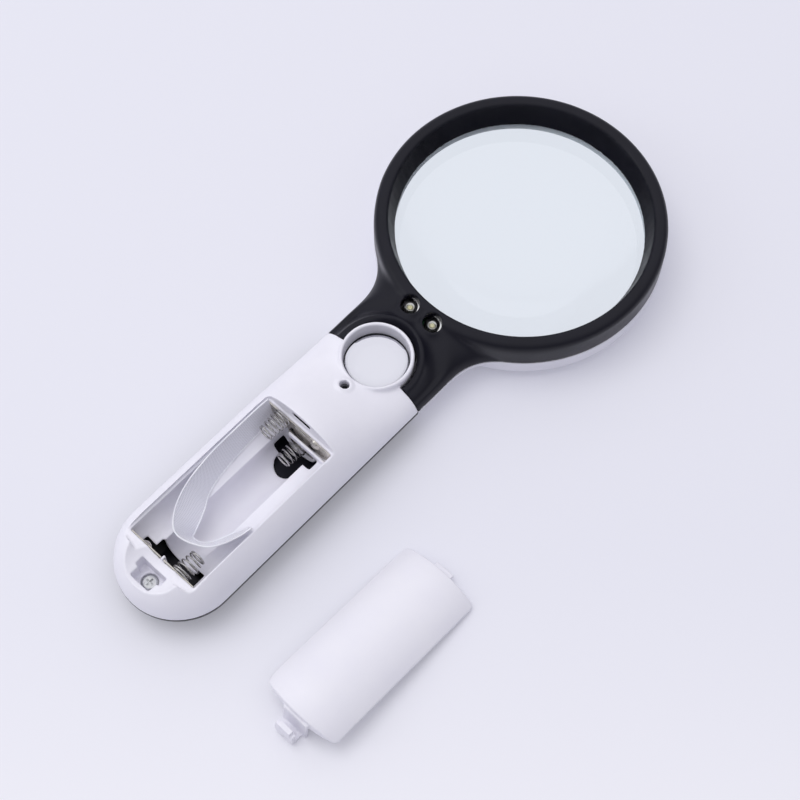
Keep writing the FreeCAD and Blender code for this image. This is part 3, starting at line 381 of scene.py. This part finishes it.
head = remoulded("head_moulding", ["head_rear_shell"], voxel=0.34, passes=5, material=black)
sculpt_neck(head)
handle = remoulded("handle_moulding", ["handle_rear_shell", "small_lens_holder"], voxel=0.25, passes=3,
                   material=white, webs=SCOOP_CORNERS)
smooth_where(handle, holder_seam, passes=30)
raise_screw_lobe(handle)
remoulded("door_moulding", ["battery_door"], voxel=0.25, passes=3, material=door_white,
          body="door")
remoulded("latch_moulding", ["door_latch"], voxel=0.13, passes=3, material=door_white,
          body="latch")


# ---------------------------------------------------------------- contact springs

def tube(name, path, radius, material, body, sides=10):
    """Round wire along a list of points, closed at both ends."""
    verts = []
    faces = []
    count = len(path)
    side = None
    for index, point in enumerate(path):
        ahead = path[min(index + 1, count - 1)]
        behind = path[max(index - 1, 0)]
        along = (ahead - behind).normalized()
        if side is None:
            side = along.orthogonal().normalized()
        side = (side - along * side.dot(along)).normalized()
        up = along.cross(side)
        for corner in range(sides):
            angle = 2 * math.pi * corner / sides
            verts.append(point + (side * math.cos(angle) + up * math.sin(angle)) * radius)
    for index in range(count - 1):
        for corner in range(sides):
            a = index * sides + corner
            b = index * sides + (corner + 1) % sides
            faces.append((a, b, b + sides, a + sides))
    faces.append(tuple(reversed(range(sides))))
    faces.append(tuple(range((count - 1) * sides, count * sides)))
    return piece_of(name, verts, faces, material, body)


WIRE = 0.22                 # radius of the spring wire
COIL_TURNS = 5.1
CLOSED_TURNS = 0.6          # the coil lies flat on its plate this far round
COIL_BASE = 2.65            # radius at the plate
COIL_END = 2.05             # radius at the tip
COIL_START = 0.8            # angle of the wire's end
COIL_STEPS = 230


def contact_spring(node, direction):
    """Conical coil between its plate and its closed tip."""
    low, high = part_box(node)
    tip_low, tip_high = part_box(node + "_tip")
    if direction > 0:
        root, end = low.x, tip_low.x
    else:
        root, end = high.x, tip_high.x
    centre = (tip_low + tip_high) / 2
    path = []
    for index in range(COIL_STEPS + 1):
        share = index / COIL_STEPS
        turn = COIL_TURNS * share
        climb = max(0.0, turn - CLOSED_TURNS) / (COIL_TURNS - CLOSED_TURNS)
        radius = (COIL_BASE + (COIL_END - COIL_BASE) * climb) * MM
        angle = 2 * math.pi * turn + COIL_START
        x = root + direction * WIRE * MM + (end - root - direction * WIRE * MM) * climb
        y = centre.y + radius * math.cos(angle)
        path.append(Vector((x, y, centre.z + radius * math.sin(angle))))
    coil = tube(node + "_coil", path, WIRE * MM, wire_metal, "frame")
    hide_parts(node)
    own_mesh(coil)


contact_spring("spring_far_upper", -1)
contact_spring("spring_far_lower", -1)
contact_spring("spring_near_right", 1)


# ---------------------------------------------------------------- lifting tape

# Upper and lower edge of the tape where it stands in the bay, from the far left corner along the
# left wall and round to the right one: x, y, z of each.
TAPE_STATIONS = (
    (-86.6, 10.5, 20.4, -86.9, 8.7, 11.6),
    (-92.0, 10.7, 20.4, -92.0, 8.7, 11.6),
    (-99.2, 10.7, 20.3, -99.1, 8.4, 11.5),
    (-105.0, 10.6, 20.3, -104.8, 7.9, 11.3),
    (-110.4, 10.2, 20.2, -109.7, 7.2, 11.0),
    (-114.9, 9.6, 20.0, -113.8, 5.9, 11.0),
    (-119.0, 8.6, 19.8, -117.0, 3.9, 11.3),
    (-123.3, 6.8, 19.5, -120.2, 2.4, 11.2),
    (-126.8, 4.2, 19.2, -122.9, 1.5, 10.5),
    (-128.2, 1.5, 19.0, -124.1, 1.1, 10.0),
    (-127.8, -1.6, 19.0, -124.1, -0.6, 10.0),
    (-126.8, -4.0, 19.0, -123.1, -2.3, 10.0),
    (-125.1, -6.7, 19.1, -121.5, -3.7, 10.5),
    (-122.2, -8.7, 19.2, -119.8, -4.5, 10.5),
    (-118.1, -10.3, 19.3, -116.3, -6.1, 11.0),
    (-114.2, -11.1, 19.4, -112.9, -7.9, 11.4),
)
TAPE_WIDTH = 10.0
TAPE_LENGTH = 62.0
TAPE_SAG = 0.35             # the band hangs this far below the straight line between its edges
TAPE_CORD = 0.22            # radius of its firm edges
TAPE_COLUMNS = 12
POINTS_PER_STATION = 8
BAND_SCALE = 0.314          # a wave texture of this scale has one band in a unit
TWILL = (35, 0.5)           # turn in degrees and pitch in millimetres of each set of threads
CROSS_THREADS = (-62, 0.38)
EDGE_BEADS = (0, 1.0)
EDGE_WIDTH = 0.5
SHEER_COVER = 0.66          # how much the cloth hides between its threads
THREAD_COVER = 0.3          # how much more its threads hide


def curve_through(points, per_span):
    """Catmull-Rom points through a list of vectors."""
    padded = [points[0] * 2 - points[1]] + list(points) + [points[-1] * 2 - points[-2]]
    found = []
    for a, b, c, d in zip(padded, padded[1:], padded[2:], padded[3:]):
        for index in range(per_span):
            t = index / per_span
            found.append(0.5 * (2 * b + (c - a) * t + (2 * a - 5 * b + 4 * c - d) * t * t
                                + (3 * b - a - 3 * c + d) * t ** 3))
    found.append(points[-1])
    return found


def woven_tape():
    """Half sheer white tape: a twill of fine threads between two firmer edges."""
    material, tree, shader = new_material("woven_tape")
    place = tree.nodes.new("ShaderNodeUVMap").outputs["UV"]
    split = tree.nodes.new("ShaderNodeSeparateXYZ")
    tree.links.new(place, split.inputs["Vector"])

    def threads(angle, pitch):
        turned = tree.nodes.new("ShaderNodeMapping")
        turned.inputs["Rotation"].default_value = (0, 0, math.radians(angle))
        tree.links.new(place, turned.inputs["Vector"])
        wave = tree.nodes.new("ShaderNodeTexWave")
        wave.wave_type = "BANDS"
        wave.inputs["Scale"].default_value = BAND_SCALE / pitch
        wave.inputs["Distortion"].default_value = 0.3
        tree.links.new(turned.outputs["Vector"], wave.inputs["Vector"])
        return wave.outputs["Fac"]

    def calc(kind, *values):
        node = tree.nodes.new("ShaderNodeMath")
        node.operation = kind
        for socket, value in zip(node.inputs, values):
            if isinstance(value, (int, float)):
                socket.default_value = value
            else:
                tree.links.new(value, socket)
        return node.outputs["Value"]

    twill = threads(*TWILL)
    cross = threads(*CROSS_THREADS)
    weave = calc("MAXIMUM", twill, cross)
    from_middle = calc("ABSOLUTE", calc("SUBTRACT", split.outputs["Y"], TAPE_WIDTH / 2))
    edge = calc("GREATER_THAN", from_middle, TAPE_WIDTH / 2 - EDGE_WIDTH)
    beads = threads(*EDGE_BEADS)
    beaded = calc("MULTIPLY", edge, calc("ADD", 0.65, calc("MULTIPLY", beads, 0.35)))
    cloth = calc("ADD", SHEER_COVER, calc("MULTIPLY", weave, THREAD_COVER))
    cover = calc("MAXIMUM", cloth, beaded)
    crossed = calc("MULTIPLY", twill, calc("ADD", 0.5, calc("MULTIPLY", cross, 0.5)))
    shade = calc("MAXIMUM", crossed, beaded)
    tree.links.new(cover, shader.inputs["Alpha"])
    thread_colour = two_colours(tree, shade, (0.84, 0.84, 0.93), (0.95, 0.95, 1.0))
    tree.links.new(thread_colour, shader.inputs["Base Color"])
    tree.links.new(bump(tree, calc("MAXIMUM", weave, beaded), 0.00012, 0.45), shader.inputs["Normal"])
    tree.links.new(spread(tree, noise(tree, THREAD_GLOSS), 0.5, 0.6), shader.inputs["Roughness"])
    shader.inputs["Sheen Weight"].default_value = 0.4
    shader.inputs["Sheen Roughness"].default_value = 0.4
    return material


thread_white = moulded_plastic("thread_white", (0.90, 0.90, 0.95), (0.78, 0.78, 0.85), 0.6, 0.0001)


def lifting_tape():
    """One layer of cloth between two curved edges, with a cord along each. Its UVs are millimetres."""
    upper = curve_through([mm(*station[:3]) for station in TAPE_STATIONS], POINTS_PER_STATION)
    lower = curve_through([mm(*station[3:]) for station in TAPE_STATIONS], POINTS_PER_STATION)
    verts = []
    for top, foot in zip(upper, lower):
        for column in range(TAPE_COLUMNS + 1):
            share = column / TAPE_COLUMNS
            sag = math.sin(math.pi * share) * TAPE_SAG * MM
            verts.append(top.lerp(foot, share) + Vector((0, 0, -sag)))
    faces = []
    rows = len(upper)
    across = TAPE_COLUMNS + 1
    for row in range(rows - 1):
        for column in range(TAPE_COLUMNS):
            a = row * across + column
            faces.append((a, a + 1, a + across + 1, a + across))
    tape = piece_of("lifting_tape", verts, faces, woven_tape())
    layer = tape.data.uv_layers.new(name="UVMap")
    for loop in tape.data.loops:
        row, column = divmod(loop.vertex_index, across)
        layer.data[loop.index].uv = (TAPE_LENGTH * row / (rows - 1), TAPE_WIDTH * column / TAPE_COLUMNS)
    for name, edge in (("tape_edge_upper", upper), ("tape_edge_lower", lower)):
        tube(name, edge, TAPE_CORD * MM, thread_white, "frame", sides=8)
    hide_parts("battery_ribbon")


lifting_tape()


# ---------------------------------------------------------------- painted shade in the slot for the door's tab

TAB_SLOT = ((-85.15, -3.25, 19.62), (-83.2, 3.25, 21.2))
SHADE_LINER_WALL = 0.04


def slot_shade_liner(low, high):
    """Black lining that paints the shade inside a slot whose mouth faces -X: its back, roof, sides and
    floor.
    """
    corners = [mm(x, y, z) for x in (low[0], high[0]) for y in (low[1], high[1])
               for z in (low[2], high[2])]
    faces = [(4, 5, 7, 6), (0, 4, 6, 2), (1, 3, 7, 5), (0, 1, 5, 4), (2, 6, 7, 3)]
    # Painted shade: thin black walls inside the slot.
    shade_liner = piece_of("tab_slot_shade_liner", corners, faces, black, smooth=False)
    wall = shade_liner.modifiers.new("wall", "SOLIDIFY")
    wall.thickness = SHADE_LINER_WALL * MM
    return bake(shade_liner)


slot_shade_liner(*TAB_SLOT)


# ---------------------------------------------------------------- LED insides

LATHE_STEPS = 40


def lathe(name, profile, centre, material):
    """Turn a closed outline of (radius, height) in millimetres about the upright through centre."""
    verts = []
    faces = []
    steps = LATHE_STEPS
    for radius, height in profile:
        for index in range(steps):
            angle = 2 * math.pi * index / steps
            verts.append(centre + mm(radius * math.cos(angle), radius * math.sin(angle), height))
    for ring in range(len(profile)):
        following = (ring + 1) % len(profile)
        for index in range(steps):
            beside = (index + 1) % steps
            faces.append((ring * steps + index, ring * steps + beside,
                          following * steps + beside, following * steps + index))
    return piece_of(name, verts, faces, material)


def crescent(name, centre, radius, thick, start, sweep, low, high, material, steps=24):
    """Part of a ring between two heights, which thins out towards both of its ends.

    radius is the outer one, in millimetres like thick and the heights; start and sweep are in degrees.
    """
    verts = []
    for index in range(steps + 1):
        angle = math.radians(start + sweep * index / steps)
        inner = radius - thick * max(math.sin(math.pi * index / steps), 0.02)
        for reach, height in ((radius, low), (radius, high), (inner, high), (inner, low)):
            verts.append(centre + mm(reach * math.cos(angle), reach * math.sin(angle), height))
    faces = [(0, 1, 2, 3), tuple(4 * steps + corner for corner in (3, 2, 1, 0))]
    for index in range(steps):
        for corner in range(4):
            a = 4 * index + corner
            b = 4 * index + (corner + 1) % 4
            faces.append((a, a + 4, b + 4, b))
    return piece_of(name, verts, faces, material, smooth=False)


reflector_metal = metal("led_reflector", (0.86, 0.86, 0.84), (0.78, 0.78, 0.76), 0.22)
# Dark steel for pieces that paint shade: the LEDs' dishes and the neck screw's socket.
dark_steel_for_shade = metal("dark_steel_for_shade", (0.16, 0.16, 0.17), (0.10, 0.10, 0.11), 0.3)
phosphor = moulded_plastic("led_phosphor", (0.98, 0.94, 0.62), (0.95, 0.90, 0.52), 0.55)


# Outlines of (radius, height above the LED's foot) in millimetres.
CUP = [(0.05, 3.9), (0.5, 3.9), (0.8, 4.35), (0.9, 4.35), (0.9, 3.0), (0.3, 2.2)]
PHOSPHOR_DOT = [(0.02, 4.3), (0.36, 4.28), (0.44, 4.2), (0.46, 4.0)]
# A dark dish that paints the shade in the LED's pocket and hides the board.
SHADE_WELL = [(0.5, 1.2), (1.6, 1.3), (2.3, 2.0), (2.34, 2.9),
        (2.4, 2.9), (2.38, 1.9), (1.65, 1.15), (0.5, 1.05)]


def led_inside(name):
    """Cup with its dot of phosphor in the clear epoxy, a dark dish round it that paints the pocket's
    shade, and a bright crescent that paints the dome's edge reflection.
    """
    low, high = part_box(name)
    centre = Vector(((low.x + high.x) / 2, (low.y + high.y) / 2, low.z))
    cup = lathe(name + "_cup", CUP, centre, reflector_metal)
    dot = lathe(name + "_phosphor", PHOSPHOR_DOT, centre, phosphor)
    # Painted shade: a dark steel dish in the pocket round the LED.
    shade_well = lathe(name + "_shade_well", SHADE_WELL, centre, dark_steel_for_shade)
    # Painted glint: a bright metal crescent where the epoxy dome's edge reflection shows.
    rim = crescent(name + "_rim", centre, radius=2.56, thick=0.62, start=-118, sweep=150,
                   low=4.7, high=5.0, material=reflector_metal)


led_inside("led_left")
led_inside("led_right")


# ---------------------------------------------------------------- painted shade: the neck screw's dark socket and a dark arc over the small lens

SOCKET = [(0.05, 3.2), (0.75, 3.2), (0.8, 4.6), (1.18, 4.75), (1.3, 4.4), (1.3, 2.0)]
SOCKET_FOOT = 10.8          # the socket's heights are above the neck screw's head

# Dark steel socket head over the neck screw, painted shade that darkens its deep hole.
socket = lathe("neck_screw_shade_socket", SOCKET, mm(NECK_SCREW.x, NECK_SCREW.y, SOCKET_FOOT), dark_steel_for_shade)
# Black crescent on the far side of the small lens's edge, a painted shadow of the gap beside the
# holder.
shade_arc = crescent("small_lens_shade_arc", mm(HOLDER.x, HOLDER.y, 0), radius=8.88, thick=0.6, start=-47,
                sweep=190, low=11.95, high=12.25, material=black, steps=48)


# ---------------------------------------------------------------- floor and light

FLOOR_SIZE = 16
# Painted falloff of the light across the floor sheet.
LIGHT_FALLOFF = (-0.19, -0.08)   # the sheet goes from its light to its darker colour between these places
LIGHT_FALLOFF_TURN = math.radians(-43)
OWN_LIGHT = (("Is Camera Ray", 0.2), ("Is Glossy Ray", 0.2), ("Is Transmission Ray", 0.8))


def floor():
    """Pale seamless sheet under the object, with a painted falloff of light across it. OWN_LIGHT's rays
    see a share of its plain colour.
    """
    bpy.ops.mesh.primitive_plane_add(size=FLOOR_SIZE, location=(0, 0, 0))
    sheet = bpy.context.object
    sheet.name = "floor"
    material, tree, shader = new_material("floor_sheet")
    place = tree.nodes.new("ShaderNodeTexCoord").outputs["Object"]
    turned = tree.nodes.new("ShaderNodeMapping")
    turned.inputs["Rotation"].default_value = (0, 0, LIGHT_FALLOFF_TURN)
    tree.links.new(place, turned.inputs["Vector"])
    split = tree.nodes.new("ShaderNodeSeparateXYZ")
    tree.links.new(turned.outputs["Vector"], split.inputs["Vector"])
    along = tree.nodes.new("ShaderNodeMapRange")
    along.interpolation_type = "SMOOTHSTEP"
    along.inputs["From Min"].default_value = LIGHT_FALLOFF[0]
    along.inputs["From Max"].default_value = LIGHT_FALLOFF[1]
    tree.links.new(split.outputs["X"], along.inputs["Value"])
    # Lighter and darker floor colours: a painted falloff of the light across the sheet.
    colour = two_colours(tree, along.outputs["Result"], (0.87, 0.865, 0.92), (0.80, 0.80, 0.875))
    tree.links.new(colour, shader.inputs["Base Color"])
    shader.inputs["Roughness"].default_value = 0.75
    path = tree.nodes.new("ShaderNodeLightPath")
    share = None
    for kind, weight in OWN_LIGHT:
        part = tree.nodes.new("ShaderNodeMath")
        part.operation = "MULTIPLY_ADD"
        tree.links.new(path.outputs[kind], part.inputs[0])
        part.inputs[1].default_value = weight
        part.inputs[2].default_value = 0.0
        if share is not None:
            tree.links.new(share.outputs["Value"], part.inputs[2])
        share = part
    glow = tree.nodes.new("ShaderNodeEmission")
    tree.links.new(colour, glow.inputs["Color"])
    glow.inputs["Strength"].default_value = 1.0
    mix = tree.nodes.new("ShaderNodeMixShader")
    tree.links.new(share.outputs["Value"], mix.inputs["Fac"])
    tree.links.new(shader.outputs["BSDF"], mix.inputs[1])
    tree.links.new(glow.outputs["Emission"], mix.inputs[2])
    tree.links.new(mix.outputs["Shader"], tree.nodes["Material Output"].inputs["Surface"])
    sheet.data.materials.append(material)


LAMP_AIM = (-0.05, 0, 0)


def area_lamp(name, place, aim, size, power, colour, mirrored=False):
    """Soft lamp that no lens shows; only a mirrored one shows in glossy faces."""
    data = bpy.data.lights.new(name, "AREA")
    data.shape = "RECTANGLE"
    data.size, data.size_y = size
    data.energy = power
    data.color = colour
    lamp = bpy.data.objects.new(name, data)
    lamp.location = place
    lamp.rotation_mode = "QUATERNION"
    lamp.rotation_quaternion = (Vector(aim) - Vector(place)).to_track_quat("-Z", "Y")
    lamp.visible_glossy = mirrored
    lamp.visible_transmission = False
    bpy.context.collection.objects.link(lamp)


BRIGHTEST = Vector((0.05, 0.22, 0.97))
TENT_LOW = (0.40, 0.405, 0.45)
TENT_HIGH = (1.27, 1.27, 1.34)
TENT_STRENGTH = 0.715


def tent():
    """Light tent: bright overhead and dimmer down to the table, a little brighter on the key's side."""
    world = bpy.data.worlds.new("tent")
    bpy.context.scene.world = world
    world.use_nodes = True
    tree = world.node_tree
    way = tree.nodes.new("ShaderNodeVectorMath")
    way.operation = "DOT_PRODUCT"
    tree.links.new(tree.nodes.new("ShaderNodeTexCoord").outputs["Generated"], way.inputs[0])
    way.inputs[1].default_value = BRIGHTEST.normalized()
    toward = tree.nodes.new("ShaderNodeMapRange")
    toward.interpolation_type = "SMOOTHSTEP"
    toward.inputs["From Min"].default_value = 0.0
    toward.inputs["From Max"].default_value = 1.0
    tree.links.new(way.outputs["Value"], toward.inputs["Value"])
    background = tree.nodes["Background"]
    tent_colour = two_colours(tree, toward.outputs["Result"], TENT_LOW, TENT_HIGH)
    tree.links.new(tent_colour, background.inputs["Color"])
    background.inputs["Strength"].default_value = TENT_STRENGTH


floor()
tent()
area_lamp("key", (-0.2, 0.5, 1.5), LAMP_AIM, size=(1.0, 1.0), power=7.2, colour=(1.0, 0.99, 0.975))
area_lamp("side", (-0.85, 0.80, 0.55), LAMP_AIM, size=(0.5, 0.8), power=1.2, colour=(0.96, 0.98, 1.0),
          mirrored=True)
